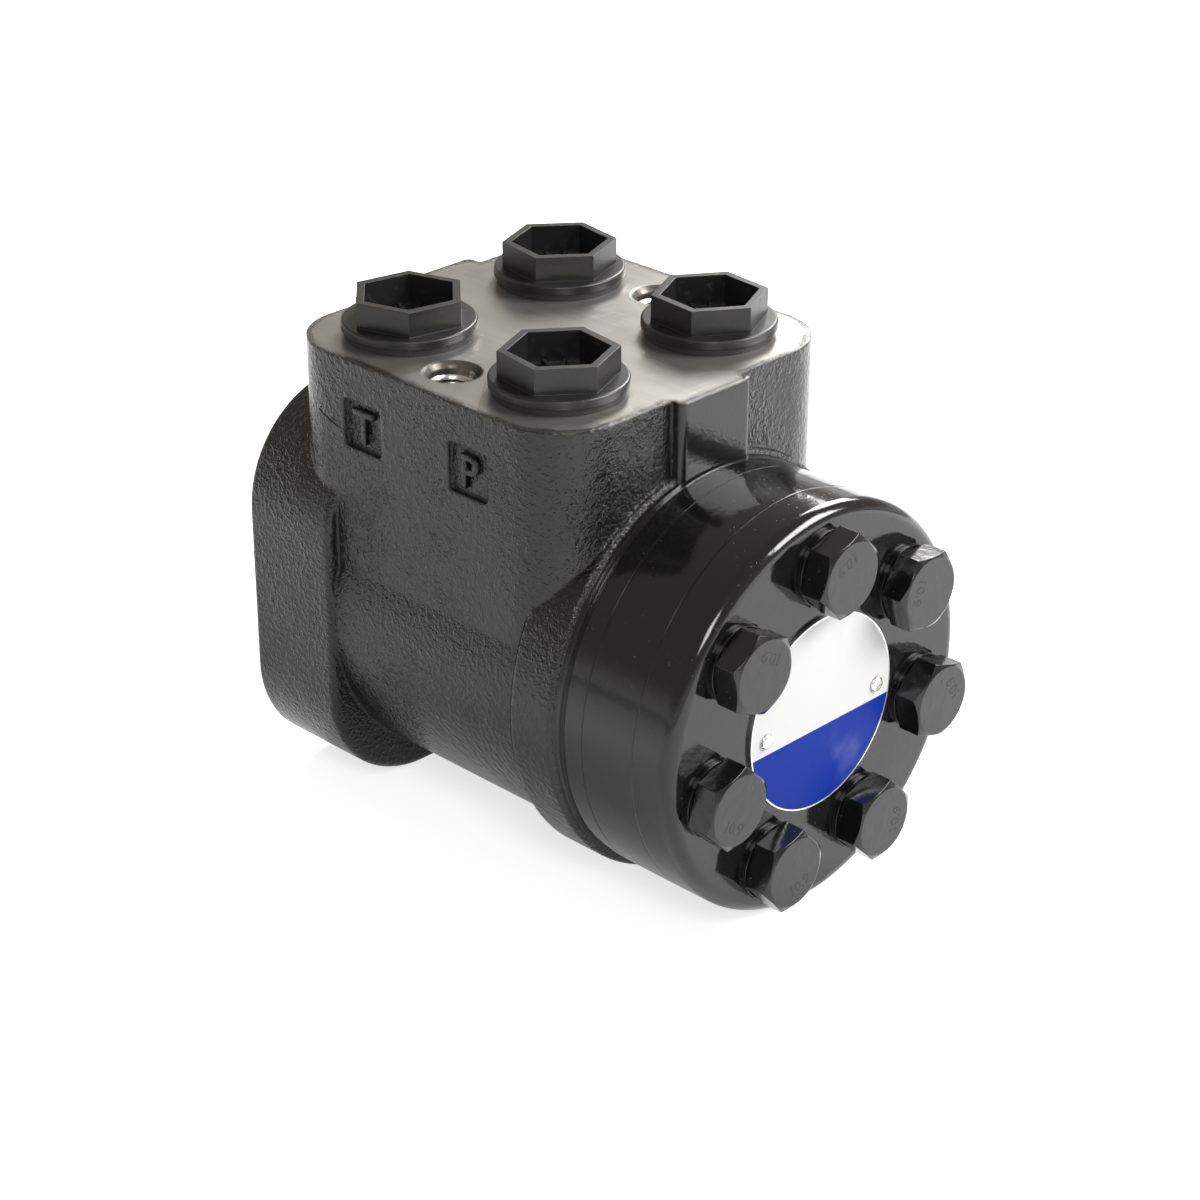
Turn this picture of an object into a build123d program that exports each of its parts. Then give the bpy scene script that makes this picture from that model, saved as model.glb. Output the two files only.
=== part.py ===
from build123d import *
import os
from math import cos, hypot, pi, radians, sin, sqrt, tan

# Orbital hydraulic steering unit: spool-and-sleeve rotary valve in an iron body, gerotor metering
# set behind a bolted cover, four G1/2 ports closed with screw plugs.
# Frame: +X along the main axis from the steering-column face (x = 0) to the end cover,
# +Z out of the port face, -Y the side with the pump and tank ports. Millimetres.

# ---- lengths along the main axis
FLANGE_T = 25.5                              # column flange
BODY_L = 97.5                                # housing, column face to distributor plate
PLATE_T = 5.0                                # distributor plate
RING_T = 14.0                                # gear ring
COVER_T = 10.1                               # end cover
WASHER_T = 1.0                               # sealing washers under the bolt heads
HEAD_H = 6.4                                 # M10 hexagon head
RING_X = BODY_L + PLATE_T
COVER_X = RING_X + RING_T
FACE_X = COVER_X + COVER_T                   # outer face of the end cover
HEAD_X = FACE_X + WASHER_T

# ---- housing casting
FLANGE_W = 90.0
FLANGE_CORNER_R = 26.0
FLANGE_EDGE_R = 1.6
FOOT_R = 7.0                                 # cast fillet between flange and barrel
BARREL_R = 44.0
COLLAR_R = 47.0
COLLAR_X = 83.0                              # back edge of the cast collar
COLLAR_FILLET = 2.5
COLLAR_EDGE_R = 1.3
RIM_X = 95.1                                 # machined rim in front of the collar
RIM_R = 45.8
LAND_R = 44.9                                # narrow land that carries the plate
LAND_T = 1.1
BLOCK_X0, BLOCK_X1 = 8.2, 93.7               # port block, length
BLOCK_W = 84.0
BLOCK_CORNER_R = 15.0
PORT_FACE_Z = 62.5
FRONT_PAD_X, FRONT_PAD_W = 96.7, 21.0        # raised band on the block's front face
BACK_PAD_X, BACK_PAD_W = 4.6, 35.0           # raised band on the block's back face
PAD_EDGE_R = 1.5
WINDOW_W, WINDOW_H = 11.6, 11.0              # letter windows in the block's sides
WINDOW_DEPTH = 1.1
WINDOW_Z = 48.2
WINDOWS_X = (34.8, 66.8)

# ---- ports and fixing holes
PORT_X0, PORT_X1 = 28.6, 73.6                # the two port rows
PORT_Y = 22.5
PORT_R = 9.5                                 # G1/2 tapped wall
PORT_DEPTH = 16.0
PASSAGE_R = 4.5
FACE_HOLE_X, FACE_HOLE_Y = 51.1, 31.0        # M12 holes in the port face
FACE_HOLE_R = 5.1
FACE_HOLE_DEPTH = 20.0
COLUMN_PCD = 82.5                            # M10 holes for the steering column
COLUMN_HOLE_R = 4.25
COLUMN_HOLE_DEPTH = 18.0
MOUTH_CHAMFER = 1.1
DRILL_POINT = 1.4                            # cone left at the bottom of a drilled hole

# ---- valve bore, seal seats, sleeve and spool
BORE_R = 18.02
BORE_X = 15.0                                # shoulder the needle bearing runs against
SHAFT_HOLE_R = 14.2
DUST_SEAT_R, DUST_SEAT_X = 19.0, 5.0
SEAL_SEAT_R, SEAL_SEAT_X0, SEAL_SEAT_X1 = 18.3, 8.0, 12.5
SLEEVE_R = 18.0
SPOOL_R = 13.5
SPOOL_RUN = 0.02                             # radial running clearance
SPOOL_BORE_R = 11.0
SLEEVE_X0, SLEEVE_X1 = 20.0, 96.9
SPOOL_X0, SPOOL_X1 = 1.0, 96.4
SOCKET_X1 = 18.0                             # inner end of the input spline
WEB_T = 2.5                                  # wall that keeps the oil out of the socket
LEAD_IN_R, LEAD_IN_L = 10.65, 3.0
SPRING_X = 24.5                              # centre of the spring slot
SPRING_W = 5.8
SPRING_SLOT_W, SPRING_SLOT_H = 6.2, 5.8
PIN_X = 36.0                                 # cross pin
PIN_R = 4.0
PIN_L = 35.0
PIN_SLACK_R = 6.2                            # spool's oversize pin hole
GROOVES_X = {"t": 44.0, "r": 52.0, "l": 60.0, "p": 68.0}
GROOVE_R, GROOVE_W = 21.5, 4.6
METER_X = 87.0                               # row of seven metering holes
METER_R = 2.6
METER_CHANNEL_R = 3.0                        # the same channels through the distributor plate

# ---- check valve beside the bore, behind one cover bolt
BALL_R = 4.0
BALL_CHAMBER_R = 4.4
BALL_SEAT_X = 64.0
BALL_SEAT_R = 2.8
BALL_TRAVEL = 2.0
CHECK_DRILL_R = 2.4                          # cross drillings to the tank and pump grooves
LIMIT_PIN_R = 1.5                            # pin on the bolt that keeps the ball in

# ---- gear set: seven ring lobes, six rotor teeth
LOBES = 7
BOLT_CIRCLE_R = 33.0
RING_R = 45.3
LOBE_CENTRE_R = 36.5
LOBE_R = 11.5
OFFSET = 3.2                                 # eccentricity of the rotor
GEAR_RUN = 0.05
TIP_ROOM = 0.25
PORT_HOLE_R = 28.6                           # circle of the chamber holes
PLATE_HOLE_R = 12.5
ROTOR_END_RUN = 0.03
OUTLINE_STEPS = 20                           # outline points to each rotor tooth

# ---- splines: twelve teeth on a 19.05 mm pitch circle
SPLINE_TEETH = 12
SOCKET_R0, SOCKET_R1 = 8.75, 10.6            # internal tip and root radius
SOCKET_GAP = 2.8                             # width of an internal gap at mid height
HEAD_R0, HEAD_R1 = 8.25, 10.15               # external root and tip radius
HEAD_TOOTH = 2.25

# ---- cardan shaft
FORK_R = 10.6
FORK_NOSE = 7.0                              # prongs reach this far past the pin's centre
FORK_SLOT = 8.4
NECK_R = 7.2
HEAD_L = 8.0
SPACER_R, SPACER_T = 8.5, 2.3

# ---- bolts, washers, plate
BOLT_R = 5.0
BOLT_HOLE_R = 5.05
COVER_HOLE_R = 5.25
BOLT_L = 45.0
BOLT_HOLE_X = 80.5
HEAD_AF = 16.0
WASHER_R = 8.4
NAME_PLATE_R, NAME_PLATE_T = 21.9, 0.8
DRIVE_SCREW_Y = 17.3
DRIVE_SCREW_R = 1.8

# Angle from +Y of each bolt's place, and how far its head came to rest past that (degrees).
HEAD_REST = {0: 14.5, 1: 37.0, 2: 14.5, 3: 10.7, 4: 14.6, 5: 42.5, 6: 55.0}
LIMIT_BOLT = 1                               # the bolt over the check valve

# ---- screw plugs
PLUG_AF = 22.0
PLUG_WALL = 1.7
PLUG_TOP_Z = 71.7
PLUG_FLANGE_R = 14.6
PLUG_FLANGE_Z0, PLUG_FLANGE_Z1 = 64.2, 66.1
PLUG_SHANK_R, PLUG_SHANK_L = 9.3, 8.0
PLUG_CUP_R = 7.6
PLUG_FLOOR_T = 1.6
PLUG_RIBS = 12
RIB_REACH, RIB_T = 2.2, 0.8                  # how far each rib stands into the throat
RIB_ROOT = 1.2                               # and how deep it is rooted in the wall
RIB_RISE = 1.8                               # ribs end this far above the flange's underside
CUP_FLOOR_RISE = 0.6                         # floor of the hexagonal cup, above the same
PLUG_REST = {"p": 51.8, "t": 17.5, "l": 55.0, "r": 50.5}   # where each hexagon came to rest

RING_SEAL_R0, RING_SEAL_R1, RING_SEAL_T = 40.2, 42.6, 1.75   # static seal grooves


# ============================================================ shared shapes
def x_rod(radius, x0, x1, y=0.0, z=0.0):
    """Cylinder along X from x0 to x1."""
    return Pos((x0 + x1) / 2, y, z) * Rot(0, 90, 0) * Cylinder(radius, x1 - x0)


def x_tube(outer, inner, x0, x1):
    """Ring around the main axis."""
    return x_rod(outer, x0, x1) - x_rod(inner, x0 - 1, x1 + 1)


def z_rod(radius, z0, z1, x=0.0, y=0.0):
    """Cylinder along Z from z0 to z1."""
    return Pos(x, y, (z0 + z1) / 2) * Cylinder(radius, z1 - z0)


def box(x0, x1, y0, y1, z0, z1):
    """Box between two corners."""
    return Pos((x0 + x1) / 2, (y0 + y1) / 2, (z0 + z1) / 2) * Box(x1 - x0, y1 - y0, z1 - z0)


def around(shape, count, first=90.0):
    """Copies of a shape drawn on the +Y side, turned about X to count even places."""
    return [Rot(first + 360 * k / count, 0, 0) * shape for k in range(count)]


def on_axis(shape, x):
    """Stand a shape drawn along +Z on the main axis, its own x axis along +Y."""
    return Plane(origin=(x, 0, 0), x_dir=(0, 1, 0), z_dir=(1, 0, 0)) * shape


def drill(radius, start, end):
    """Round hole between two points."""
    axis = Vector(*end) - Vector(*start)
    return Plane(origin=start, z_dir=axis) * Pos(0, 0, axis.length / 2) * Cylinder(radius, axis.length)


def tapped(radius, depth, face, direction, mouth=0.0, point=0.0):
    """Blind hole cut into a face, with a mouth chamfer and a drill point if they are asked for."""
    hole = Pos(0, 0, depth / 2 - 0.5) * Cylinder(radius, depth + 1)
    if mouth:
        hole += Pos(0, 0, mouth / 2) * Cone(radius + mouth, radius, mouth)
    if point:
        hole += Pos(0, 0, depth + point / 2) * Cone(radius, radius / 2, point)
    return Plane(origin=face, z_dir=direction) * hole


def outline(corners):
    """Closed face through (x, y, corner radius) points."""
    bends = []
    for k, (x, y, radius) in enumerate(corners):
        here = Vector(x, y)
        back = (Vector(*corners[k - 1][:2]) - here).normalized()
        ahead = (Vector(*corners[(k + 1) % len(corners)][:2]) - here).normalized()
        half = radians(back.get_angle(ahead)) / 2
        reach = radius / tan(half)
        middle = here
        if radius:
            middle = here + (back + ahead).normalized() * (radius / sin(half) - radius)
        bends.append((here + back * reach, middle, here + ahead * reach, radius))
    edges = []
    for k, (enter, middle, leave, radius) in enumerate(bends):
        if radius:
            edges.append(ThreePointArc(enter, middle, leave))
        onward = bends[(k + 1) % len(bends)][0]
        if (onward - leave).length > 1e-6:
            edges.append(Line(leave, onward))
    return make_face(edges)


def turned(corners):
    """Solid of revolution about the main axis from (x, radius, corner radius) points."""
    return revolve(outline(corners), Axis.X, 360)


def spline_prism(root, tip, width, length):
    """Splined bar along +Z with flat-topped teeth; width is the tooth width at mid height."""
    pitch = 2 * pi / SPLINE_TEETH
    half_turn = 0.5 * width / ((root + tip) / 2)
    points = []
    for k in range(SPLINE_TEETH):
        for radius, side in ((root, -1.24), (tip, -0.76), (tip, 0.76), (root, 1.24)):
            angle = k * pitch + side * half_turn
            points.append((radius * cos(angle), radius * sin(angle)))
    return extrude(make_face(Polyline(points, close=True)), length)


def hexagon(across_flats, height, rest):
    """Six-sided prism along +Z with one corner turned to rest degrees."""
    return extrude(Rot(0, 0, rest) * RegularPolygon(across_flats / 2, 6, major_radius=False), height)


def save(node, shape):
    export_step(shape, f"parts/{node}.step")


os.makedirs("parts", exist_ok=True)


# ============================================================ housing
def port_mouths():
    """Port name to the centre of its mouth."""
    return {
        "t": (PORT_X0, -PORT_Y, PORT_FACE_Z),
        "p": (PORT_X1, -PORT_Y, PORT_FACE_Z),
        "r": (PORT_X0, PORT_Y, PORT_FACE_Z),
        "l": (PORT_X1, PORT_Y, PORT_FACE_Z),
    }


def casting():
    """Outside of the grey-iron body: flange, barrel, collar, port block and its raised bands."""
    square = RectangleRounded(FLANGE_W, FLANGE_W, FLANGE_CORNER_R)
    flange = extrude(Plane.YZ * square, FLANGE_T)
    flange = fillet(flange.faces().sort_by(Axis.X)[-1].edges(), FLANGE_EDGE_R)
    foot_out = BARREL_R + FOOT_R
    foot = turned([
        (FLANGE_T - 2, BARREL_R - 4, 0), (FLANGE_T - 2, foot_out, 0), (FLANGE_T, foot_out, 0),
        (FLANGE_T, BARREL_R, FOOT_R), (FLANGE_T + FOOT_R, BARREL_R, 0),
        (FLANGE_T + FOOT_R, BARREL_R - 4, 0),
    ])
    foot = foot & extrude(Plane.YZ * square, FLANGE_T + FOOT_R + 1)
    land_x = BODY_L - LAND_T
    barrel = turned([
        (FLANGE_T / 2, 0, 0), (FLANGE_T / 2, BARREL_R, 0), (COLLAR_X, BARREL_R, COLLAR_FILLET),
        (COLLAR_X, COLLAR_R, COLLAR_EDGE_R), (RIM_X, COLLAR_R, COLLAR_EDGE_R * 0.8), (RIM_X, RIM_R, 0),
        (land_x, RIM_R, 0), (land_x, LAND_R, 0), (BODY_L, LAND_R, 0), (BODY_L, 0, 0),
    ])
    block_mid = (BLOCK_X0 + BLOCK_X1) / 2
    block_plan = RectangleRounded(BLOCK_X1 - BLOCK_X0, BLOCK_W, BLOCK_CORNER_R)
    block = extrude(Pos(block_mid, 0, 0) * block_plan, PORT_FACE_Z)
    front_pad = box(BLOCK_X1 - 4, FRONT_PAD_X, -FRONT_PAD_W / 2, FRONT_PAD_W / 2, 10, PORT_FACE_Z)
    front_pad = fillet(front_pad.faces().sort_by(Axis.X)[-1].edges().filter_by(Axis.Z), PAD_EDGE_R)
    back_pad = box(BACK_PAD_X, BLOCK_X0 + 4, -BACK_PAD_W / 2, BACK_PAD_W / 2, 10, PORT_FACE_Z)
    back_pad = fillet(back_pad.faces().sort_by(Axis.X)[0].edges().filter_by(Axis.Z), PAD_EDGE_R)
    return flange + foot + barrel + block + front_pad + back_pad


def window(x, side):
    """Shallow recess that frames a port letter in one side of the block."""
    plan = RectangleRounded(WINDOW_W, WINDOW_H, 1.2)
    face = Plane(origin=(x, side * (BLOCK_W / 2 + 0.5), WINDOW_Z), x_dir=(1, 0, 0), z_dir=(0, side, 0))
    return extrude(face * plan, -(WINDOW_DEPTH + 0.5))


def valve_bore():
    """Stepped main bore with seal seats and the four oil grooves."""
    cuts = [
        x_rod(BORE_R, BORE_X, BODY_L + 1),
        x_rod(SHAFT_HOLE_R, -1, BORE_X + 1),
        x_rod(DUST_SEAT_R, -1, DUST_SEAT_X),
        x_rod(SEAL_SEAT_R, SEAL_SEAT_X0, SEAL_SEAT_X1),
    ]
    for x in GROOVES_X.values():
        cuts.append(x_rod(GROOVE_R, x - GROOVE_W / 2, x + GROOVE_W / 2))
    return cuts


def port_cuts():
    """The four tapped ports, each with its inclined passage down to its own groove."""
    cuts = []
    for name, (x, y, z) in port_mouths().items():
        side = 1 if y > 0 else -1
        cuts.append(tapped(PORT_R, PORT_DEPTH, (x, y, z), (0, 0, -1), mouth=MOUTH_CHAMFER))
        cuts.append(drill(PASSAGE_R, (x, y, z - PORT_DEPTH + 1), (GROOVES_X[name], side * 13.5, 14.0)))
    return cuts


def fixing_holes():
    """Column holes, port-face holes and the cover bolts' tapped holes."""
    reach = COLUMN_PCD / 2 / sqrt(2)
    cuts = []
    for y in (-reach, reach):
        for z in (-reach, reach):
            cuts.append(tapped(COLUMN_HOLE_R, COLUMN_HOLE_DEPTH, (0, y, z), (1, 0, 0), point=DRILL_POINT))
    for y in (-FACE_HOLE_Y, FACE_HOLE_Y):
        mouth_centre = (FACE_HOLE_X, y, PORT_FACE_Z)
        cuts.append(tapped(FACE_HOLE_R, FACE_HOLE_DEPTH, mouth_centre, (0, 0, -1), MOUTH_CHAMFER, DRILL_POINT))
    cuts += around(x_rod(BOLT_HOLE_R, BOLT_HOLE_X, BODY_L + 1, BOLT_CIRCLE_R), LOBES)
    return cuts


def metering_channels():
    """Seven inclined channels from the valve bore to the gear chambers, drilled from the front face."""
    slope = (BODY_L - METER_X) / (PORT_HOLE_R - BORE_R)
    channel = drill(METER_R, (METER_X - 2 * slope, BORE_R - 2, 0), (BODY_L + slope, PORT_HOLE_R + 1, 0))
    return around(channel, LOBES, 90 + 180 / LOBES)


def check_valve_cuts():
    """Ball chamber behind the limit bolt, joining the tank groove to the pump groove."""
    chamber = x_rod(BALL_CHAMBER_R, BALL_SEAT_X, BOLT_HOLE_X + 1, BOLT_CIRCLE_R)
    seat = x_rod(BALL_SEAT_R, GROOVES_X["t"] - 2, BALL_SEAT_X + 1, BOLT_CIRCLE_R)
    start, end = GROOVE_R - 2, BOLT_CIRCLE_R
    tank = drill(CHECK_DRILL_R, (GROOVES_X["t"], start, 0), (GROOVES_X["t"], end, 0))
    pump = drill(CHECK_DRILL_R, (GROOVES_X["p"], start, 0), (GROOVES_X["p"], end, 0))
    return [Rot(90 + 360 * LIMIT_BOLT / LOBES, 0, 0) * cut for cut in (chamber, seat, tank, pump)]


def housing():
    body = casting()
    body -= [window(x, side) for x in WINDOWS_X for side in (-1, 1)]
    body -= valve_bore()
    body -= port_cuts()
    body -= fixing_holes()
    body -= metering_channels()
    body -= check_valve_cuts()
    body -= x_tube(RING_SEAL_R1, RING_SEAL_R0, BODY_L - RING_SEAL_T, BODY_L + 1)
    return body


save("housing", housing())


# ============================================================ seals and needle bearing at the input end
def dust_seal():
    """Rubber wiper with a lip that leans outwards on the spool."""
    return turned([
        (0.5, DUST_SEAT_R, 0), (4.5, DUST_SEAT_R, 0), (4.5, 15.6, 0), (3.0, 15.2, 0),
        (1.6, SPOOL_R + 0.1, 0), (1.1, SPOOL_R + 0.1, 0), (1.4, 16.4, 0), (0.5, 16.8, 0),
    ])


save("dust_seal", dust_seal())
save("shaft_seal", x_tube(SEAL_SEAT_R, SPOOL_R + 0.1, SEAL_SEAT_X0 + 0.1, SEAL_SEAT_X1 - 0.1))

RACE_R0, RACE_R1, RACE_T = 14.0, 17.9, 1.5
CAGE_T = SLEEVE_X0 - BORE_X - 2 * RACE_T
NEEDLES = 12
NEEDLE_R, NEEDLE_L = 0.98, 2.8
NEEDLE_MID_R = 16.0


def bearing():
    """Outer race, cage, needles and inner race of the thrust bearing, in order along the axis."""
    middle = BORE_X + RACE_T + CAGE_T / 2
    needle = Pos(middle, NEEDLE_MID_R, 0) * Rot(90, 0, 0) * Cylinder(NEEDLE_R, NEEDLE_L)
    pocket = Pos(middle, NEEDLE_MID_R, 0) * Box(CAGE_T, NEEDLE_L + 0.2, 2 * NEEDLE_R + 0.1)
    cage = x_tube(RACE_R1 - 0.1, RACE_R0 + 0.2, middle - 0.75, middle + 0.75)
    cage -= around(pocket, NEEDLES)
    outer_race = x_tube(RACE_R1, RACE_R0, BORE_X, BORE_X + RACE_T)
    inner_race = x_tube(RACE_R1, RACE_R0, SLEEVE_X0 - RACE_T, SLEEVE_X0)
    return outer_race, cage, Compound(around(needle, NEEDLES)), inner_race


for node, shape in zip(("outer_race", "cage", "needles", "inner_race"), bearing()):
    save(f"bearing_{node}", shape)


# ============================================================ valve: sleeve, spool, cross pin, springs
SPRING_RING_R0, SPRING_RING_R1 = 16.2, 17.8
PORT_ROWS = {"t": 3, "r": 2, "l": 2, "p": 3}
SLEEVE_HOLE_R = 1.8
METER_HOLE_R = 1.3
METER_HOLES = 6
FLUTE_X0, FLUTE_X1, FLUTE_R, FLUTES = 50.0, 90.0, 1.8, 6     # oil flutes milled along the spool
RING_GROOVE_X0, RING_GROOVE_X1, RING_GROOVE_T = 76.0, 79.0, 0.9


def spring_slot():
    """Slot across the valve for the leaf springs."""
    half_x, half_z = SPRING_SLOT_W / 2, SPRING_SLOT_H / 2
    return box(SPRING_X - half_x, SPRING_X + half_x, -20, 20, -half_z, half_z)


def sleeve():
    """Rotary sleeve with its rows of oil holes, spring slot, ring recess and pin hole."""
    body = x_tube(SLEEVE_R, SPOOL_R + SPOOL_RUN, SLEEVE_X0, SLEEVE_X1)
    body -= x_tube(SLEEVE_R + 1, SPRING_RING_R0 - 0.05, SPRING_X - 3.5, SPRING_X + 3.5)
    body -= spring_slot()
    body -= z_rod(PIN_R + 0.02, -20, 20, PIN_X)
    for name, count in PORT_ROWS.items():
        hole = drill(SLEEVE_HOLE_R, (GROOVES_X[name], SPOOL_R - 1, 0), (GROOVES_X[name], SLEEVE_R + 1, 0))
        body -= around(hole, count, 75)
    meter = drill(METER_HOLE_R, (METER_X, SPOOL_R - 1, 0), (METER_X, SLEEVE_R + 1, 0))
    body -= around(meter, METER_HOLES)
    return body


def spool():
    """Hollow spool: blind input spline, web, pin slack holes and oil flutes."""
    body = x_rod(SPOOL_R, SPOOL_X0, SPOOL_X1) - x_rod(SPOOL_BORE_R, SOCKET_X1 + WEB_T, SPOOL_X1 + 1)
    body -= on_axis(spline_prism(SOCKET_R0, SOCKET_R1, SOCKET_GAP, SOCKET_X1), 0)
    body -= x_rod(LEAD_IN_R, SPOOL_X0 - 1, SPOOL_X0 + LEAD_IN_L)
    body -= spring_slot()
    body -= z_rod(PIN_SLACK_R, -20, 20, PIN_X)
    body -= around(x_rod(FLUTE_R, FLUTE_X0, FLUTE_X1, SPOOL_R + 0.5), FLUTES, 75)
    body -= x_tube(SPOOL_R + 1, SPOOL_R - RING_GROOVE_T, RING_GROOVE_X0, RING_GROOVE_X1)
    return body


def leaf_springs():
    """Two flat leaves between two nested pairs of bowed leaves, all lying across the spool."""
    half = 15.8
    leaf_t = 0.55
    flat = []
    bowed = []
    x0 = SPRING_X - SPRING_W / 2
    for side in (-1, 1):
        flat.append(box(x0, x0 + SPRING_W, -half, half, min(0.02 * side, 0.62 * side),
                        max(0.02 * side, 0.62 * side)))
        for crown, tip in ((0.68, 1.60), (1.26, 2.18)):
            lower = ThreePointArc((-half, side * tip), (0, side * crown), (half, side * tip))
            raised = side * leaf_t
            upper = ThreePointArc((half, side * tip + raised), (0, side * crown + raised),
                                  (-half, side * tip + raised))
            ends = [Line(lower @ 1, upper @ 0), Line(upper @ 1, lower @ 0)]
            profile = make_face([lower, ends[0], upper, ends[1]])
            bowed.append(on_axis(extrude(profile, SPRING_W), x0))
    return Compound(flat), Compound(bowed)


save("sleeve", sleeve())
save("spool", spool())
save("cross_pin", chamfer(z_rod(PIN_R, -PIN_L / 2, PIN_L / 2, PIN_X).edges().filter_by(GeomType.CIRCLE), 0.6))
flat_springs, bowed_springs = leaf_springs()
save("flat_leaf_springs", flat_springs)
save("curved_leaf_springs", bowed_springs)
save("spring_ring", x_tube(SPRING_RING_R1, SPRING_RING_R0, SPRING_X - 3.4, SPRING_X + 3.4))


# ============================================================ gear set behind the distributor plate
def rotor_outline(run):
    """Six-toothed outline that rolls inside the seven lobes, set back from them by run."""
    steps = OUTLINE_STEPS * (LOBES - 1)
    points = []
    for k in range(steps):
        phi = 2 * pi * k / steps
        x = LOBE_CENTRE_R * cos(phi) - OFFSET * cos(LOBES * phi)
        y = LOBE_CENTRE_R * sin(phi) - OFFSET * sin(LOBES * phi)
        dx = -LOBE_CENTRE_R * sin(phi) + LOBES * OFFSET * sin(LOBES * phi)
        dy = LOBE_CENTRE_R * cos(phi) - LOBES * OFFSET * cos(LOBES * phi)
        back = (LOBE_R + run) / hypot(dx, dy)
        points.append((x - dy * back, y + dx * back))
    return make_face(Spline(points, periodic=True))


def gear_ring():
    """Fixed ring with seven round lobes, bolt holes and a seal groove in each face."""
    cavity_r = LOBE_CENTRE_R - LOBE_R + 2 * OFFSET + TIP_ROOM
    cavity = x_rod(cavity_r, RING_X - 1, COVER_X + 1)
    cavity -= around(x_rod(LOBE_R, RING_X - 2, COVER_X + 2, LOBE_CENTRE_R), LOBES)
    ring = x_rod(RING_R, RING_X, COVER_X) - cavity
    ring -= around(x_rod(COVER_HOLE_R, RING_X - 1, COVER_X + 1, BOLT_CIRCLE_R), LOBES)
    ring -= x_tube(RING_SEAL_R1, RING_SEAL_R0, RING_X - 1, RING_X + RING_SEAL_T)
    ring -= x_tube(RING_SEAL_R1, RING_SEAL_R0, COVER_X - RING_SEAL_T, COVER_X + 1)
    return ring


def gear_rotor():
    """Orbiting rotor, raised by the offset, splined on the cardan shaft."""
    length = RING_T - 2 * ROTOR_END_RUN
    blank = extrude(Rot(0, 0, 90) * rotor_outline(GEAR_RUN), length)
    blank -= spline_prism(SOCKET_R0, SOCKET_R1, SOCKET_GAP, length)
    return Pos(0, 0, OFFSET) * on_axis(blank, RING_X + ROTOR_END_RUN)


def distributor_plate():
    """Plate that feeds the seven gear chambers."""
    plate = x_tube(RING_R, PLATE_HOLE_R, BODY_L, RING_X)
    plate -= around(x_rod(METER_CHANNEL_R, BODY_L - 1, RING_X + 1, PORT_HOLE_R), LOBES, 90 + 180 / LOBES)
    plate -= around(x_rod(COVER_HOLE_R, BODY_L - 1, RING_X + 1, BOLT_CIRCLE_R), LOBES)
    return plate


def cardan_shaft():
    """Double-jointed drive: a slotted ball on the cross pin, a crowned spline in the rotor."""
    mid_rotor = (RING_X + COVER_X) / 2
    reach = hypot(mid_rotor - PIN_X, OFFSET)
    fork = Sphere(FORK_R) & box(-FORK_R, FORK_R, -FORK_R, FORK_R, -FORK_NOSE, FORK_R)
    fork -= box(-FORK_SLOT / 2, FORK_SLOT / 2, -FORK_R, FORK_R, -FORK_R, PIN_R + 0.6)
    head = spline_prism(HEAD_R0, HEAD_R1, HEAD_TOOTH, HEAD_L)
    crown = chamfer(Cylinder(HEAD_R1 + 0.05, HEAD_L).edges().filter_by(GeomType.CIRCLE), 0.9)
    head = Pos(0, 0, reach - HEAD_L / 2) * (head & (Pos(0, 0, HEAD_L / 2) * crown))
    neck = z_rod(NECK_R, FORK_R - 4, reach - HEAD_L / 2 + 0.5)
    stub = z_rod(HEAD_R0 - 1, reach, reach + HEAD_L / 2 + 0.2)
    place = Plane(origin=(PIN_X, 0, 0), x_dir=(0, 1, 0), z_dir=(mid_rotor - PIN_X, 0, OFFSET))
    return place * (fork + neck + head + stub)


save("cardan_shaft", cardan_shaft())
save("spacer", x_rod(SPACER_R, COVER_X - SPACER_T - 0.1, COVER_X - 0.1, 0, OFFSET))
save("distributor_plate", distributor_plate())
save("gear_ring", gear_ring())
save("gear_rotor", gear_rotor())
save("body_seal_ring", x_tube(RING_SEAL_R1 - 0.2, RING_SEAL_R0 + 0.2, BODY_L - RING_SEAL_T, BODY_L))
save("plate_seal_ring", x_tube(RING_SEAL_R1 - 0.2, RING_SEAL_R0 + 0.2, RING_X, RING_X + RING_SEAL_T))
save("cover_seal_ring", x_tube(RING_SEAL_R1 - 0.2, RING_SEAL_R0 + 0.2, COVER_X - RING_SEAL_T, COVER_X))


# ============================================================ end cover, bolts and plate
COVER_EDGE_R = 3.0
DRIVE_HOLE_R = 1.05


def end_cover():
    """Round steel cover with a rounded outer edge."""
    cover = turned([
        (COVER_X, 0, 0), (COVER_X, RING_R, 0), (FACE_X, RING_R, COVER_EDGE_R), (FACE_X, 0, 0),
    ])
    cover -= around(x_rod(COVER_HOLE_R, COVER_X - 1, FACE_X + 1, BOLT_CIRCLE_R), LOBES)
    cover -= [x_rod(DRIVE_HOLE_R, FACE_X - 5, FACE_X + 1, y) for y in (-DRIVE_SCREW_Y, DRIVE_SCREW_Y)]
    return cover


def hex_head(rest):
    """Bolt head on the main axis: washer face, then a hexagon with a turned 30-degree crown."""
    skirt_t = 0.5
    crown_r = HEAD_AF / 2 - 0.35
    corner_r = HEAD_AF / sqrt(3) + 0.1
    crown_t = (corner_r - crown_r) / sqrt(3)
    crown = turned([
        (HEAD_X, 0, 0), (HEAD_X, corner_r, 0), (HEAD_X + HEAD_H - crown_t, corner_r, 0),
        (HEAD_X + HEAD_H, crown_r, 0), (HEAD_X + HEAD_H, 0, 0),
    ])
    prism = on_axis(hexagon(HEAD_AF, HEAD_H - skirt_t, rest), HEAD_X + skirt_t)
    return (prism & crown) + x_rod(HEAD_AF / 2 - 0.3, HEAD_X, HEAD_X + skirt_t)


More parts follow.
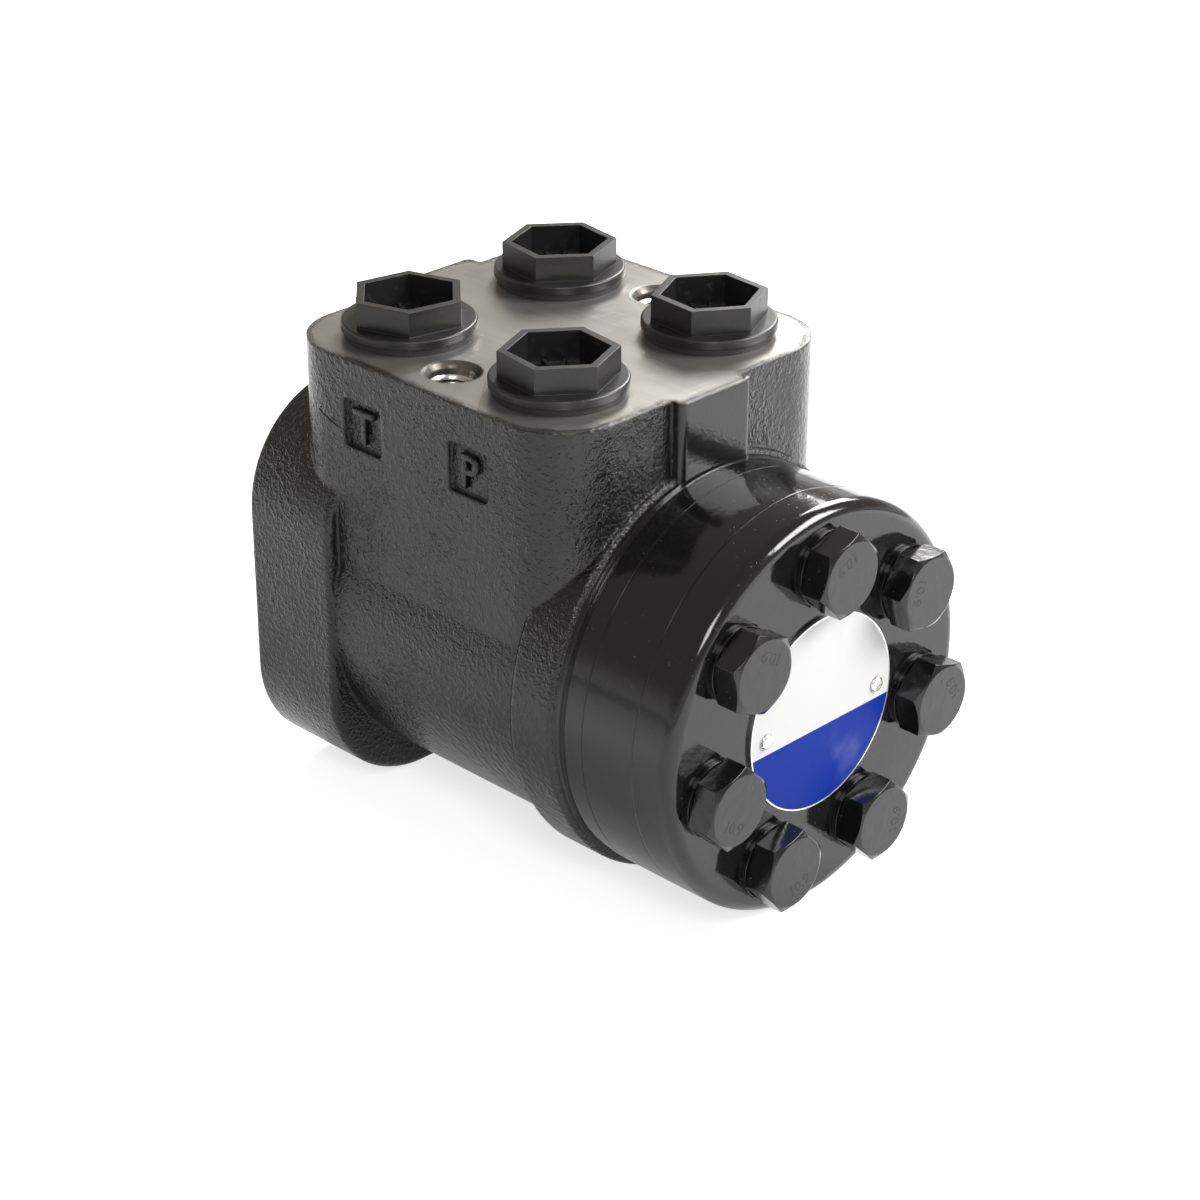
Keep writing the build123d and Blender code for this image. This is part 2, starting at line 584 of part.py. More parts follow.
def bolt(place):
    """Cover bolt at its place on the circle, its head turned to where it came to rest."""
    angle = radians(90 + 360 * place / LOBES)
    centre = Pos(0, BOLT_CIRCLE_R * cos(angle), BOLT_CIRCLE_R * sin(angle))
    shank = x_rod(BOLT_R, HEAD_X - BOLT_L, HEAD_X)
    if place == LIMIT_BOLT:
        pin_tip = BALL_SEAT_X + sqrt(BALL_R**2 - BALL_SEAT_R**2) + BALL_R + BALL_TRAVEL
        shank += x_rod(LIMIT_PIN_R, pin_tip, HEAD_X - BOLT_L + 1)
    return centre * (shank + hex_head(HEAD_REST[place]))


def washer(place):
    """Flat sealing washer under one head."""
    angle = radians(90 + 360 * place / LOBES)
    ring = x_tube(WASHER_R, BOLT_R + 0.15, FACE_X, HEAD_X)
    return Pos(0, BOLT_CIRCLE_R * cos(angle), BOLT_CIRCLE_R * sin(angle)) * ring


def drive_screw(y):
    """Hammer-drive screw with a domed head."""
    plate_x = FACE_X + NAME_PLATE_T
    dome = turned([
        (plate_x, 0, 0), (plate_x, DRIVE_SCREW_R, 0), (plate_x + 0.8, DRIVE_SCREW_R, 0.75),
        (plate_x + 0.8, 0, 0),
    ])
    return Pos(0, y, 0) * (dome + x_rod(DRIVE_HOLE_R - 0.05, FACE_X - 4.5, plate_x + 0.1))


def name_plate():
    """Thin round plate, bare, held by two drive screws."""
    plate = x_rod(NAME_PLATE_R, FACE_X, FACE_X + NAME_PLATE_T)
    return plate - [x_rod(DRIVE_HOLE_R, FACE_X - 1, FACE_X + 3, y) for y in (-DRIVE_SCREW_Y, DRIVE_SCREW_Y)]


save("end_cover", end_cover())
save("cover_bolts", Compound([bolt(k) for k in range(LOBES) if k != LIMIT_BOLT]))
save("limit_bolt", bolt(LIMIT_BOLT))
save("bolt_washers", Compound([washer(k) for k in range(LOBES)]))
save("name_plate", name_plate())
save("drive_screws", Compound([drive_screw(y) for y in (-DRIVE_SCREW_Y, DRIVE_SCREW_Y)]))


# ============================================================ check ball and port plugs
def check_ball():
    """Ball on its seat at the end of the chamber."""
    ball_x = BALL_SEAT_X + sqrt(BALL_R**2 - BALL_SEAT_R**2) + 0.02
    return Rot(90 + 360 * LIMIT_BOLT / LOBES, 0, 0) * Pos(ball_x, BOLT_CIRCLE_R, 0) * Sphere(BALL_R)


def plug(x, y, rest):
    """Moulded screw plug: hollow shank, round flange, open hexagonal cup with ribs in its throat."""
    shank_z = PORT_FACE_Z - PLUG_SHANK_L
    floor_z = shank_z + PLUG_FLOOR_T
    body = z_rod(PLUG_SHANK_R, shank_z, PLUG_FLANGE_Z0)
    body += z_rod(PLUG_FLANGE_R, PLUG_FLANGE_Z0, PLUG_FLANGE_Z1)
    body = fillet(body.edges().filter_by(GeomType.CIRCLE).sort_by(Axis.Z)[-1], 0.5)
    body += Pos(0, 0, PLUG_FLANGE_Z1) * hexagon(PLUG_AF, PLUG_TOP_Z - PLUG_FLANGE_Z1, rest)
    cup_af = PLUG_AF - 2 * PLUG_WALL
    body -= Pos(0, 0, PLUG_FLANGE_Z0 + CUP_FLOOR_RISE) * hexagon(cup_af, PLUG_TOP_Z, rest)
    body -= z_rod(PLUG_CUP_R, floor_z, PLUG_TOP_Z)
    tip, root = PLUG_CUP_R - RIB_REACH, PLUG_CUP_R + RIB_ROOT
    rib = box(tip, root, -RIB_T / 2, RIB_T / 2, floor_z, PLUG_FLANGE_Z0 + RIB_RISE)
    for k in range(PLUG_RIBS):
        body += Rot(0, 0, rest + 15 + 360 * k / PLUG_RIBS) * rib
    return Pos(x, y, 0) * body


save("check_ball", check_ball())
for name, (x, y, z) in port_mouths().items():
    save(f"port_plug_{name}", plug(x, y, PLUG_REST[name]))
    seal_ring = z_rod(PLUG_FLANGE_R - 0.7, PORT_FACE_Z, PLUG_FLANGE_Z0, x, y)
    save(f"plug_seal_{name}", seal_ring - z_rod(PLUG_SHANK_R, PORT_FACE_Z - 1, PLUG_FLANGE_Z0 + 1, x, y))
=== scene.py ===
import bpy
import math
from mathutils import Matrix, Vector


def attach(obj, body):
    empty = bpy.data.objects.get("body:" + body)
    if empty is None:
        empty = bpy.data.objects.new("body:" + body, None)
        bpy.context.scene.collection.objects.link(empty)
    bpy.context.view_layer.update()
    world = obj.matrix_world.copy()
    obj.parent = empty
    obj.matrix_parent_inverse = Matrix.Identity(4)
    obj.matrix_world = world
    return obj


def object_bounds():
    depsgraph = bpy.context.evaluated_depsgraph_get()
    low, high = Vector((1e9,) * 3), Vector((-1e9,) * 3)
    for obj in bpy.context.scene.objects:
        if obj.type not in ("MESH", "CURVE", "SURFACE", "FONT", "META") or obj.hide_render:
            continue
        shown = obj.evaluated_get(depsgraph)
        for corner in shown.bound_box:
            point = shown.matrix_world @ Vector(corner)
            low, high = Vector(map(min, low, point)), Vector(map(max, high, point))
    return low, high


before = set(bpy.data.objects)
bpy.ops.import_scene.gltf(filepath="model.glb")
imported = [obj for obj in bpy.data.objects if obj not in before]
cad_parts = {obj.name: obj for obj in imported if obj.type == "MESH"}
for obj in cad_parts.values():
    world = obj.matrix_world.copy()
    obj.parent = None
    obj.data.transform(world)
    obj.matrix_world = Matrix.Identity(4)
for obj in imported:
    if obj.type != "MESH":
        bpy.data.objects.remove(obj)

cad_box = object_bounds()

# ---------------------------------------------------------------- camera
# A long lens looks down on the unit from in front of its end cover.
mm = 0.001
eye = Vector((470.7, -417.14, 297.38)) * mm
look_at = Vector((63.4, 0.0, 3.07)) * mm
roll = math.radians(0.18)


def facing(start, end):
    """Placement at start with its own -Z axis toward end."""
    turn = (Vector(end) - Vector(start)).to_track_quat("-Z", "Y").to_matrix().to_4x4()
    return Matrix.Translation(start) @ turn


view = bpy.data.cameras.new("studio_camera")
view.lens = 89.46
view.sensor_width = 36.0
view.clip_start = 0.01
camera = bpy.data.objects.new("studio_camera", view)
camera.matrix_world = facing(eye, look_at) @ Matrix.Rotation(roll, 4, "Z")
bpy.context.collection.objects.link(camera)
bpy.context.scene.camera = camera
bpy.context.scene.view_settings.view_transform = "Standard"


# ---------------------------------------------------------------- studio table, world and lamps
# A seamless white table in a dim, warm room: a mirror sees the table's far edge, then the room.
# Soft boxes stand behind the ports, over the table beyond the end cover, and in front.
table_half = 3.0
table_z = cad_box[0][2] - 0.05 * mm
table_white = (0.82, 0.82, 0.82, 1.0)
table_glow = 0.72
table_sheen = 0.28
horizon_light = 0.95
room_light = 0.42
room_white = (1.0, 1.0, 1.0)
room_warm = (1.0, 0.92, 0.80)
horizon_rise = 0.02
room_rise = 0.22
fill_light = 0.26


class Shade:
    """A shader socket. Arithmetic on it adds the Math nodes that work it out."""

    def __init__(self, finish, socket):
        self.finish = finish
        self.socket = socket

    def math(self, operation, first, second=None):
        values = {0: first} if second is None else {0: first, 1: second}
        return self.finish.node("ShaderNodeMath", {"operation": operation}, values)

    def __add__(self, other):
        return self.math("ADD", self, other)

    def __sub__(self, other):
        return self.math("SUBTRACT", self, other)

    def __rsub__(self, other):
        return self.math("SUBTRACT", other, self)

    def __mul__(self, other):
        return self.math("MULTIPLY", self, other)

    def __truediv__(self, other):
        return self.math("DIVIDE", self, other)

    def __pow__(self, other):
        return self.math("POWER", self, other)

    def __gt__(self, other):
        return self.math("GREATER_THAN", self, other)

    def __lt__(self, other):
        return self.math("LESS_THAN", self, other)

    def __or__(self, other):
        return self.math("MAXIMUM", self, other)

    def __abs__(self):
        return self.math("ABSOLUTE", self)

    __radd__ = __add__

    def rise(self, low, high):
        """0 below low, 1 above high, smooth between."""
        span = {"Value": self, "From Min": low, "From Max": high}
        return self.finish.node("ShaderNodeMapRange", {"interpolation_type": "SMOOTHSTEP"}, span)

    def part(self, name):
        """Another output of the same node."""
        return Shade(self.finish, self.socket.node.outputs[name])


class Finish:
    """One node material, or the world, and the calls that add its nodes."""

    def __init__(self, name, block=None):
        self.block = block or bpy.data.materials.new(name)
        self.block.use_nodes = True
        self.tree = self.block.node_tree
        self.tree.nodes.clear()
        self.output = self.tree.nodes.new("ShaderNodeOutputWorld" if block else "ShaderNodeOutputMaterial")

    def node(self, kind, settings=None, values=None, out=0):
        """Add a node: its settings first, then a value or a link for each named socket."""
        made = self.tree.nodes.new(kind)
        for name, setting in (settings or {}).items():
            setattr(made, name, setting)
        for name, value in (values or {}).items():
            if isinstance(value, Shade):
                self.tree.links.new(value.socket, made.inputs[name])
            else:
                made.inputs[name].default_value = value
        return Shade(self, made.outputs[out])

    def end(self, shader):
        """Join the last shader to the output."""
        self.tree.links.new(shader.socket, self.output.inputs["Surface"])
        return self.block

    def place(self):
        """The point on the piece, in metres of the unit's own frame."""
        return self.node("ShaderNodeTexCoord", out=3)

    def xyz(self, vector=None):
        parted = self.node("ShaderNodeSeparateXYZ", values={0: vector or self.place()})
        return parted, parted.part("Y"), parted.part("Z")

    def noise(self, scale, detail=2.0, vector=None):
        values = {"Vector": vector or self.place(), "Scale": scale, "Detail": detail}
        return self.node("ShaderNodeTexNoise", {"noise_dimensions": "3D"}, values)

    def stretch(self, x, y, z):
        """The place with each direction scaled, for drawn-out grain."""
        return self.node("ShaderNodeVectorMath", {"operation": "MULTIPLY"}, {0: self.place(), 1: (x, y, z)})

    def tint(self, mask, dark, light):
        """Colour that goes from dark to light with the mask."""
        values = {"Factor": mask, 6: dark, 7: light}
        for slot in (6, 7):
            if isinstance(values[slot], tuple):
                values[slot] = (*values[slot], 1.0)
        return self.node("ShaderNodeMix", {"data_type": "RGBA"}, values, out=2)

    def eased(self, radius):
        """Normal that rounds the edges by a small radius, as paint and wear do."""
        return self.node("ShaderNodeBevel", {"samples": 6}, {"Radius": radius})

    def bump(self, height, depth, under):
        """Normal from a height of 0 to 1 that stands for depth in metres."""
        return self.node("ShaderNodeBump", values={"Height": height, "Distance": depth, "Normal": under})

    def surface(self, **values):
        """End the material in a Principled surface."""
        named = {name.replace("_", " "): value for name, value in values.items()}
        return self.end(self.node("ShaderNodeBsdfPrincipled", values=named))


def studio_sky():
    """Even fill on the unit. The eye sees white, and a mirror sees the warm room over the table."""
    sky = Finish("studio_sky", bpy.data.worlds.new("studio_sky"))
    rays = sky.node("ShaderNodeLightPath")
    height = sky.xyz(sky.node("ShaderNodeTexCoord"))[2].rise(horizon_rise, room_rise)
    mirrored = horizon_light - height * (horizon_light - room_light)
    eye_ray, glossy_ray = rays.part("Is Camera Ray"), rays.part("Is Glossy Ray")
    strength = eye_ray + (1.0 - eye_ray) * (glossy_ray * mirrored + (1.0 - glossy_ray) * fill_light)
    colour = sky.tint(glossy_ray * height, room_white, room_warm)
    return sky.end(sky.node("ShaderNodeBackground", values={"Color": colour, "Strength": strength}))


def table_cloth():
    """Matt white sheet that reads as white and keeps a soft shadow."""
    sheet = Finish("table_cloth")
    rays = sheet.node("ShaderNodeLightPath")
    cloth = sheet.node("ShaderNodeBsdfDiffuse", values={"Color": table_white})
    shown = cloth
    for ray, strength in (("Is Camera Ray", table_glow), ("Is Glossy Ray", table_sheen)):
        glow = sheet.node("ShaderNodeEmission", values={"Strength": strength})
        lifted = sheet.node("ShaderNodeAddShader", values={0: cloth, 1: glow})
        shown = sheet.node("ShaderNodeMixShader", values={0: rays.part(ray), 1: shown, 2: lifted})
    return sheet.end(shown)


bpy.context.scene.world = studio_sky()
table_mesh = bpy.data.meshes.new("table")
corners = [(x * table_half, y * table_half, table_z) for x, y in ((-1, -1), (1, -1), (1, 1), (-1, 1))]
table_mesh.from_pydata(corners, [], [(0, 1, 2, 3)])
table_mesh.materials.append(table_cloth())
table = bpy.data.objects.new("table", table_mesh)
bpy.context.collection.objects.link(table)


def soft_box(name, at, toward, size, watts):
    """Rectangular area lamp, size (width, height), that faces a point."""
    lamp = bpy.data.lights.new(name, "AREA")
    lamp.shape = "RECTANGLE"
    lamp.size, lamp.size_y = size
    lamp.energy = watts
    holder = bpy.data.objects.new(name, lamp)
    holder.matrix_world = facing(at, toward)
    bpy.context.collection.objects.link(holder)


middle = (0.06, 0.0, 0.02)
table_beyond_cover = (0.24, 0.12, table_z)
table_in_front = (0.02, -0.22, table_z)
soft_box("port_box", (-0.36, 0.97, 0.68), middle, (0.50, 0.50), 12.0)
soft_box("cover_box", (0.80, 0.62, 0.70), table_beyond_cover, (0.7, 0.5), 22.0)
soft_box("front_box", (0.75, -0.55, 0.65), table_in_front, (0.30, 0.30), 4.0)


# ---------------------------------------------------------------- housing
# Grey-iron sand casting under thick gloss black paint. The port face and the column face are
# milled after painting, so they are bare, as are the bore, the ports and the tapped holes.
paint_black = (0.0055, 0.0055, 0.0058)
milled_light = (0.52, 0.51, 0.475)
milled_dark = (0.30, 0.29, 0.265)
oil_stain = (0.22, 0.19, 0.15)
# painted shade: dark brown that stands in for the shade inside the holes
hole_painted_shade = (0.10, 0.088, 0.072)
port_face = 62.5 * mm
rim_start = 95.1 * mm
bore_wall = 21.7 * mm
port_middles = (51.1 * mm, 22.5 * mm, 22.5 * mm)
port_half_mouth = 10.7 * mm
face_hole = (51.1 * mm, 31.0 * mm)
face_hole_mouth = 6.3 * mm
face_hole_land = 9.0 * mm
upper_block = 40.0 * mm
column_hole_place = 29.17 * mm
column_hole_mouth = 4.5 * mm
column_flange = 20.0 * mm
port_pitch = 1.814 * mm
peel_size = 1.15 * mm
peel_depth = 0.80 * mm
paint_lap = 3.4 * mm
paint_round = 1.1 * mm
side_flank = -41.0 * mm
flaw = (23.8 * mm, 47.6 * mm, 3.2 * mm)
scratch_start = (58.0 * mm, -28.0 * mm)
scratch_slope = -1.15


def cast_iron_finish():
    skin = Finish("cast_paint")
    x, y, z = skin.xyz()
    ragged = skin.noise(260.0, 4.0) - 0.5
    wide_ragged = skin.noise(90.0, 2.0) - 0.5
    radius = (y * y + z * z) ** 0.5
    port_x = abs(abs(x - port_middles[0]) - port_middles[1])
    port_far = (port_x * port_x + (abs(y) - port_middles[2]) ** 2.0) ** 0.5
    hole_far = ((x - face_hole[0]) ** 2.0 + (abs(y) - face_hole[1]) ** 2.0) ** 0.5
    column_far = ((abs(y) - column_hole_place) ** 2.0 + (abs(z) - column_hole_place) ** 2.0) ** 0.5
    near_face = z > upper_block
    in_holes = (hole_far < face_hole_mouth) * near_face | (port_far < port_half_mouth) * near_face
    in_holes = in_holes | (column_far < column_hole_mouth) * (x < column_flange)
    edge_wander = ragged * (0.4 * mm) + wide_ragged * (0.3 * mm)
    on_port_face = (z + edge_wander).rise(port_face - 0.35 * mm, port_face - 0.15 * mm)
    on_column_face = 1.0 - (x + ragged * (0.5 * mm)).rise(0.1 * mm, 0.3 * mm)
    near_edge = 1.0 - skin.xyz(skin.eased(paint_lap))[2]
    lapped = (near_edge - ragged * 0.14 - wide_ragged * 0.20).rise(0.015, 0.030) * (near_edge > 0.002)
    on_port_face = on_port_face * (1.0 - lapped * (hole_far > face_hole_land))
    bare = on_port_face | on_column_face | in_holes | (radius < bore_wall)
    turned = (x > rim_start) * (1.0 - bare)

    cloud = skin.noise(38.0, 4.0)
    streak = skin.noise(90.0, 3.0, skin.stretch(1.0, 14.0, 1.0))
    milled = skin.tint(cloud * 0.6 + streak * 0.4, milled_dark, milled_light)
    milled = skin.tint(skin.noise(55.0, 5.0).rise(0.60, 0.74) * 0.45, milled, oil_stain)
    along = (x - scratch_start[0]) * scratch_slope + scratch_start[1]
    scratch = 1.0 - abs(y - along + ragged * (2.2 * mm)).rise(0.05 * mm, 0.22 * mm)
    scratch = scratch * (x > scratch_start[0]) * (y < 0.0) * (port_far > port_half_mouth)
    milled = skin.tint(scratch * 0.8, milled, oil_stain)
    # Painted shade: the walls and mouths of the ports and tapped holes are darkened to stand in for the
    # shade inside them.
    milled = skin.tint(in_holes * 0.85, milled, hole_painted_shade)

    coarse = skin.noise(1.0 / peel_size, 2.0).rise(0.40, 0.76)
    fine = skin.noise(2.3 / peel_size, 2.0).rise(0.36, 0.80)
    patchy = 0.55 + skin.noise(48.0, 2.0).rise(0.35, 0.65) * 0.75
    waves = skin.noise(75.0, 2.0)
    pits = skin.noise(210.0, 2.0).rise(0.70, 0.78)
    flaw_far = abs(z - flaw[1] + (x - flaw[0]) * 0.35 + wide_ragged * (1.5 * mm))
    flaw_dent = (1.0 - flaw_far.rise(0.15 * mm, 0.8 * mm)) * (abs(x - flaw[0]) < flaw[2])
    flaw_dent = flaw_dent * (y < side_flank)
    sand = (coarse * 0.20 + fine * 0.09) * patchy + waves * 0.35 - pits * 0.16 - flaw_dent * 0.5
    sand = sand * (1.0 - bare) * (1.0 - turned * 0.93)
    lay = skin.noise(700.0, 2.0, skin.stretch(1.0, 0.06, 1.0)) * on_port_face * 0.05
    threads = skin.node("ShaderNodeMath", {"operation": "PINGPONG"}, {0: z / port_pitch, 1: 0.5})
    threads = threads * (port_far < port_half_mouth)
    threads = threads * near_face * (1.0 - on_port_face) * 0.8
    paint_rough = 0.045 + skin.noise(170.0, 3.0) * 0.09
    milled_rough = 0.25 + streak * 0.14
    return skin.surface(
        Base_Color=skin.tint(bare, paint_black, milled),
        Metallic=bare * 0.85,
        Roughness=paint_rough * (1.0 - bare) + milled_rough * bare,
        Normal=skin.bump(sand + lay + threads, peel_depth, skin.eased(paint_round)))


def dress(node, material):
    """Give a carried-over node its material."""
    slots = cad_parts[node].data.materials
    slots.clear()
    slots.append(material)


def housing_piece(name, mesh, material, body="housing"):
    """Add a piece that is not in the solids, riding on a body."""
    mesh.materials.clear()
    mesh.materials.append(material)
    piece = bpy.data.objects.new(name, mesh)
    bpy.context.collection.objects.link(piece)
    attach(piece, body)
    return piece


cast_paint = cast_iron_finish()
dress("housing", cast_paint)


# ---------------------------------------------------------------- cast port letters
# One raised letter stands in each recess of the block's sides, cast with the body and painted
# over: T tank and P pump on the near side, R right and L left on the far side.
letter_size = 10.4 * mm
letter_half_t = 0.42 * mm
letter_round = 0.18 * mm
letter_weight = 0.03 * mm
letter_z = 44.6 * mm
letter_y = 41.4 * mm
letter_places = {"T": (34.8, -1), "P": (66.8, -1), "R": (34.8, 1), "L": (66.8, 1)}


def lettering(text, size, half_t, rounding, weight):
    """Mesh of raised characters, centred in width, standing on their base line and facing +Z."""
    curve = bpy.data.curves.new("lettering", "FONT")
    curve.body = text
    curve.size = size
    curve.extrude = half_t
    curve.bevel_depth = rounding
    curve.bevel_resolution = 1
    curve.offset = weight
    curve.align_x = "CENTER"
    shown = bpy.data.objects.new("lettering", curve)
    bpy.context.collection.objects.link(shown)
    bpy.context.view_layer.update()
    mesh = bpy.data.meshes.new_from_object(shown)
    bpy.data.objects.remove(shown)
    bpy.data.curves.remove(curve)
    return mesh


for letter, (x, side) in letter_places.items():
    mesh = lettering(letter, letter_size, letter_half_t, letter_round, letter_weight)
    axes = Matrix(((-side, 0, 0), (0, 0, side), (0, 1, 0))).to_4x4()
    mesh.transform(Matrix.Translation((x * mm, side * letter_y, letter_z)) @ axes)
    housing_piece(f"port_letter_{letter.lower()}", mesh, cast_paint)


# ---------------------------------------------------------------- threads of the fixing holes
# M12 threads in the port face and M10 threads in the column face, cut in bare iron, so their
# crests are bright. Each is one helical ridge that stands in from the wall of its hole.
thread_steps = 28
face_thread_drop = 1.2 * mm
column_thread_drop = 0.4 * mm
face_thread = {"wall": 5.12 * mm, "crest": 4.45 * mm, "pitch": 1.75 * mm, "length": 17.0 * mm}
column_thread = {"wall": 4.27 * mm, "crest": 3.75 * mm, "pitch": 1.5 * mm, "length": 15.0 * mm}


def cut_iron_finish():
    cut = Finish("cut_iron")
    bite = cut.noise(900.0, 3.0)
    colour = cut.tint(cut.noise(140.0, 3.0), (0.42, 0.40, 0.37), (0.72, 0.70, 0.66))
    return cut.surface(Base_Color=colour, Metallic=1.0, Roughness=0.20 + bite * 0.15,
                       Normal=cut.bump(bite, 0.04 * mm, cut.eased(0.08 * mm)))


def thread_ridge(start, inward, wall, crest, pitch, length):
    """Points and faces of one helical ridge from start along the inward direction."""
    turn = Vector((0, 0, 1)).rotation_difference(Vector(inward)).to_matrix()
    rows = int(length / pitch * thread_steps)
    points = []
    for k in range(rows):
        angle = 2 * math.pi * k / thread_steps
        depth = pitch * k / thread_steps
        for radius, lead in ((wall, 0.0), (crest, 0.42 * pitch), (crest, 0.58 * pitch), (wall, pitch)):
            along = turn @ Vector((radius * math.cos(angle), radius * math.sin(angle), depth + lead))
            points.append(Vector(start) + along)
    faces = []
    for k in range(rows - 1):
        for corner in range(4 * k, 4 * k + 3):
            faces.append((corner, corner + 1, corner + 5, corner + 4))
    return points, faces


def threads(name, starts, inward, **cut):
    points, faces = [], []
    for start in starts:
        more_points, more_faces = thread_ridge(start, inward, **cut)
        faces += [tuple(len(points) + corner for corner in face) for face in more_faces]
        points += more_points
    mesh = bpy.data.meshes.new(name)
    mesh.from_pydata(points, [], faces)
    mesh.shade_smooth()
    housing_piece(name, mesh, cut_iron)


cut_iron = cut_iron_finish()
face_starts = [(face_hole[0], side * face_hole[1], port_face - face_thread_drop) for side in (-1, 1)]
column_starts = [(column_thread_drop, y * column_hole_place, z * column_hole_place)
                 for y in (-1, 1) for z in (-1, 1)]
threads("face_hole_threads", face_starts, (0, 0, -1), **face_thread)
threads("column_hole_threads", column_starts, (1, 0, 0), **column_thread)


# ---------------------------------------------------------------- distributor plate, gear ring, end cover
# Turned steel discs clamped to the body, wiped smooth and sprayed with the same gloss black, so
# they reflect cleanly. Specks of dust lie in the paint.
speck_grey = (0.045, 0.045, 0.043)


def gloss_black_finish(name, dent_depth, edge, sheen=0.09):
    paint = Finish(name)
    fog = paint.noise(45.0, 3.0)
    peel = paint.noise(520.0, 2.0)
    specks = paint.noise(1300.0, 1.0).rise(0.74, 0.80)
    height = peel * 0.35 + paint.noise(110.0, 3.0) * 0.65 + specks * 0.5
    return paint.surface(
        Base_Color=paint.tint(specks * 0.7, paint_black, speck_grey),
        Roughness=sheen + fog * 0.09 + specks * 0.3,
        Normal=paint.bump(height, dent_depth, paint.eased(edge)))


smooth_black = gloss_black_finish("smooth_black", 0.07 * mm, 0.50 * mm, 0.06)
for node in ("distributor_plate", "gear_ring", "end_cover"):
    dress(node, smooth_black)


# ---------------------------------------------------------------- cover bolts and sealing washers
# M10 steel bolts, six plain and one that limits the check valve, each on a flat washer. They are
# painted with the unit. The forged heads carry their strength class, rubbed dull on its crests.
bolt_count = 7
bolt_circle = 33.0 * mm
head_face = 134.0 * mm
mark_size = 3.7 * mm
mark_half_t = 0.008 * mm
mark_round = 0.012 * mm
mark_weight = 0.02 * mm
mark_drop = 5.0 * mm
mark_turns = (205.0, 152.0, 330.0, 20.0, 75.0, 118.0, 250.0)
bolt_black = gloss_black_finish("bolt_black", 0.14 * mm, 0.30 * mm, 0.12)
mark_black = gloss_black_finish("mark_black", 0.05 * mm, 0.05 * mm, 0.46)


def head_marks():
    """Numerals for every head in one mesh, each turned to where its bolt came to rest."""
    joined = bpy.data.meshes.new("head_marks")
    points, faces = [], []
    for place in range(bolt_count):
        angle = math.radians(90 + 360 * place / bolt_count)
        mesh = lettering("10.9", mark_size, mark_half_t, mark_round, mark_weight)
        mesh.transform(Matrix.Translation((0, -mark_drop, 0)))
        mesh.transform(Matrix.Rotation(math.radians(mark_turns[place]), 4, "Z"))
        mesh.transform(Matrix(((0, 0, 1), (1, 0, 0), (0, 1, 0))).to_4x4())
        centre = Vector((head_face, bolt_circle * math.cos(angle), bolt_circle * math.sin(angle)))
        faces += [tuple(len(points) + corner for corner in face.vertices) for face in mesh.polygons]
        points += [vertex.co + centre for vertex in mesh.vertices]
        bpy.data.meshes.remove(mesh)
    joined.from_pydata(points, [], faces)
    return joined


for node in ("cover_bolts", "limit_bolt", "bolt_washers"):
    dress(node, bolt_black)
housing_piece("head_marks", head_marks(), mark_black)


# ---------------------------------------------------------------- name plate and drive screws
# Round aluminium plate, bare of words: anodised white above and printed blue below, with a bright
# cut rim. Two hammer-drive screws with domed heads hold it.
plate_white = (0.49, 0.49, 0.487)
plate_blue = (0.0015, 0.018, 0.20)
rim_metal = (0.74, 0.74, 0.73)
plate_rim = 21.55 * mm
rim_blur = 0.06 * mm
colour_line = -3.5 * mm
colour_blur = 0.12 * mm


def plate_finish():
    plate = Finish("plate_face")
    x, y, z = plate.xyz()
    radius = (y * y + z * z) ** 0.5
    wander = (plate.noise(900.0, 2.0) - 0.5) * colour_blur
    blue = 1.0 - (z + wander).rise(colour_line, colour_line + colour_blur)
    rim = radius.rise(plate_rim - rim_blur, plate_rim + rim_blur)
    brushed = plate.noise(1500.0, 2.0, plate.stretch(1.0, 1.0, 0.03))
    handled = plate.noise(60.0, 4.0)
    printed = plate.tint(blue, plate_white, plate_blue)
    printed = plate.tint(handled.rise(0.55, 0.85) * 0.10, printed, rim_metal)
    return plate.surface(
        Base_Color=plate.tint(rim, printed, rim_metal),
        Metallic=rim,
        Specular_IOR_Level=0.08,
        Roughness=0.30 + brushed * 0.12 + handled * 0.06,
        Normal=plate.bump(brushed * 0.6 + handled * 0.4, 0.03 * mm, plate.eased(0.12 * mm)))


def bright_screw_finish():
    nickel = Finish("bright_screw")
    hammered = nickel.noise(700.0, 2.0)
    colour = nickel.tint(nickel.noise(260.0, 3.0), (0.55, 0.54, 0.51), (0.84, 0.83, 0.80))
    return nickel.surface(Base_Color=colour, Metallic=1.0, Roughness=0.16 + hammered * 0.16,
                          Normal=nickel.bump(hammered, 0.10 * mm, nickel.eased(0.10 * mm)))


dress("name_plate", plate_finish())
dress("drive_screws", bright_screw_finish())


# ---------------------------------------------------------------- port plugs and their seals
# Injection-moulded black plastic transport plugs, semi-matt from the tool's spark-eroded skin and
# a little polished on the edges that a socket rubs. A soft flat ring seals each one.
plastic_black = (0.010, 0.010, 0.0105)
plastic_scuffed = (0.030, 0.030, 0.030)
rubber_black = (0.012, 0.012, 0.012)


def plug_plastic_finish():
    plastic = Finish("plug_plastic")
    grain = plastic.noise(2200.0, 2.0)
    flow = plastic.noise(120.0, 3.0, plastic.stretch(1.0, 1.0, 0.3))
    scuffs = plastic.noise(420.0, 4.0).rise(0.60, 0.72)
    return plastic.surface(
        Base_Color=plastic.tint(scuffs * 0.5, plastic_black, plastic_scuffed),
        Roughness=0.30 + flow * 0.10 + scuffs * 0.12,
        Normal=plastic.bump(grain * 0.3 + flow * 0.7, 0.05 * mm, plastic.eased(0.22 * mm)))


